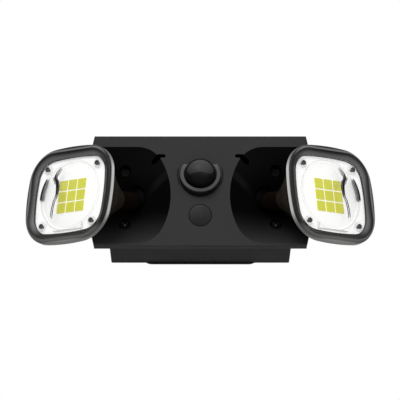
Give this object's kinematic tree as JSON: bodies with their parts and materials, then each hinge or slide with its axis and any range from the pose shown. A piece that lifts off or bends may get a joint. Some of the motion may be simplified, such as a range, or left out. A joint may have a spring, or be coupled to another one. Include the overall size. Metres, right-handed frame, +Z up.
{
  "type": "motion sensor security light",
  "caption": "Wall-mounted security light: a wide housing with a domed motion sensor and square flood heads on ball joints at its sides.",
  "frame": {"origin": "middle of the wall face of the gasket", "axes": "+Z up, the light looks along -Y, the wall is the plane y = 0, +X to the right of someone facing the light"},
  "size_m": [0.3502, 0.1283, 0.1169],
  "materials": {
    "housing_plastic": "satin",
    "head_plastic": "satin",
    "bezel_plastic": "glossy",
    "sensor_plastic": "glossy",
    "window_plastic": "satin",
    "liner_plastic": "satin",
    "stem_metal": "satin",
    "lens_clear": "clear",
    "reflector_white": "satin",
    "led_board_white": "satin",
    "led_phosphor": "satin",
    "spreader_metal": "satin",
    "screw_steel": "satin",
    "seal_rubber": "matt",
    "gasket_foam": "matt",
    "circuit_board": "satin",
    "sensor_can": "satin",
    "sensor_cell": "clear epoxy",
    "coil_wrap": "tape",
    "capacitor_sleeve": "sleeve",
    "terminal_plastic": "satin"
  },
  "bodies": {
    "housing": {"front_housing": "housing_plastic", "rear_housing": "housing_plastic", "housing_seal": "seal_rubber", "wall_gasket": "gasket_foam", "sensor_collar": "housing_plastic", "housing_screws": "screw_steel", "sensor_dome": "sensor_plastic", "light_sensor_window": "window_plastic", "sensor_board": "circuit_board", "infrared_sensor": "sensor_can", "light_sensor": "sensor_cell", "driver_board": "circuit_board", "driver_transformer": "coil_wrap", "driver_capacitors": "capacitor_sleeve", "terminal_block": "terminal_plastic", "socket_screws": "screw_steel", "left_socket_cup": "housing_plastic", "right_socket_cup": "housing_plastic"},
    "left_liner": {"left_ball_liner": "liner_plastic"},
    "left_head": {"left_ball_stem": "stem_metal", "left_head_shell": "head_plastic", "left_lock_nut": "screw_steel", "left_stem_seal": "seal_rubber", "left_bezel": "bezel_plastic", "left_lens": "lens_clear", "left_lens_seal": "seal_rubber", "left_reflector": "reflector_white", "left_led_board": "led_board_white", "left_led_chips": "led_phosphor", "left_heat_spreader": "spreader_metal", "left_lens_screws": "screw_steel"},
    "right_liner": {"right_ball_liner": "liner_plastic"},
    "right_head": {"right_ball_stem": "stem_metal", "right_head_shell": "head_plastic", "right_lock_nut": "screw_steel", "right_stem_seal": "seal_rubber", "right_bezel": "bezel_plastic", "right_lens": "lens_clear", "right_lens_seal": "seal_rubber", "right_reflector": "reflector_white", "right_led_board": "led_board_white", "right_led_chips": "led_phosphor", "right_heat_spreader": "spreader_metal", "right_lens_screws": "screw_steel"}
  },
  "joints": [
    {"name": "left_pan", "type": "hinge", "parent": "housing", "child": "left_liner", "pos_m": [-0.0587, -0.048, -0.0045], "axis": [0, 0, 1], "range_deg": [-10, 12]},
    {"name": "left_tilt", "type": "hinge", "parent": "left_liner", "child": "left_head", "pos_m": [-0.0587, -0.048, -0.0045], "axis": [-0.8662, 0.4997, 0], "range_deg": [-6, 9]},
    {"name": "right_pan", "type": "hinge", "parent": "housing", "child": "right_liner", "pos_m": [0.0587, -0.048, -0.0045], "axis": [0, 0, 1], "range_deg": [-12, 10]},
    {"name": "right_tilt", "type": "hinge", "parent": "right_liner", "child": "right_head", "pos_m": [0.0587, -0.048, -0.0045], "axis": [-0.8662, -0.4997, 0], "range_deg": [-6, 9]}
  ]
}
